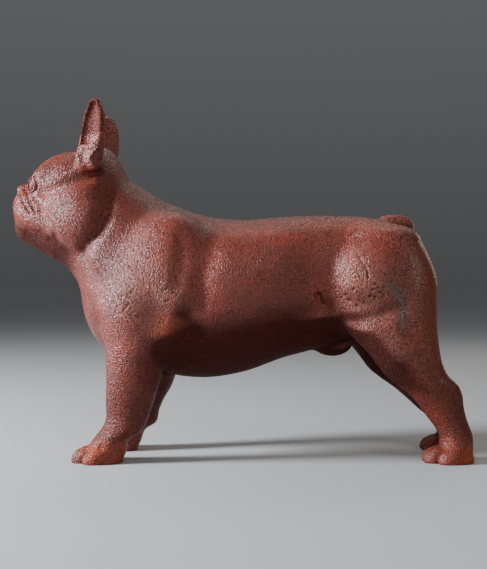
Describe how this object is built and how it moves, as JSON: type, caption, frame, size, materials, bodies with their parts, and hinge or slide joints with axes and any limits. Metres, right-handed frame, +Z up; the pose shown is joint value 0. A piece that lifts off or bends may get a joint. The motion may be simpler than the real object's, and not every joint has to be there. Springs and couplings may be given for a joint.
{
  "type": "cast iron dog statue",
  "caption": "Life-size standing French bulldog figure cast in iron, with a waxed red-brown rusted skin, resting on its flat paws.",
  "frame": {"origin": "middle of the figure's length and width, on the ground that the soles stand on", "axes": "+X from the dog's head to its tail, +Y from its left side to its right side, +Z up"},
  "size_m": [0.5716, 0.1756, 0.4304],
  "materials": {
    "red_brown_iron": "sand-cast skin with fine grain and small pits, even red-brown rust under clear wax, semi-gloss"
  },
  "bodies": {
    "root": {"dog": "red_brown_iron"}
  },
  "joints": []
}
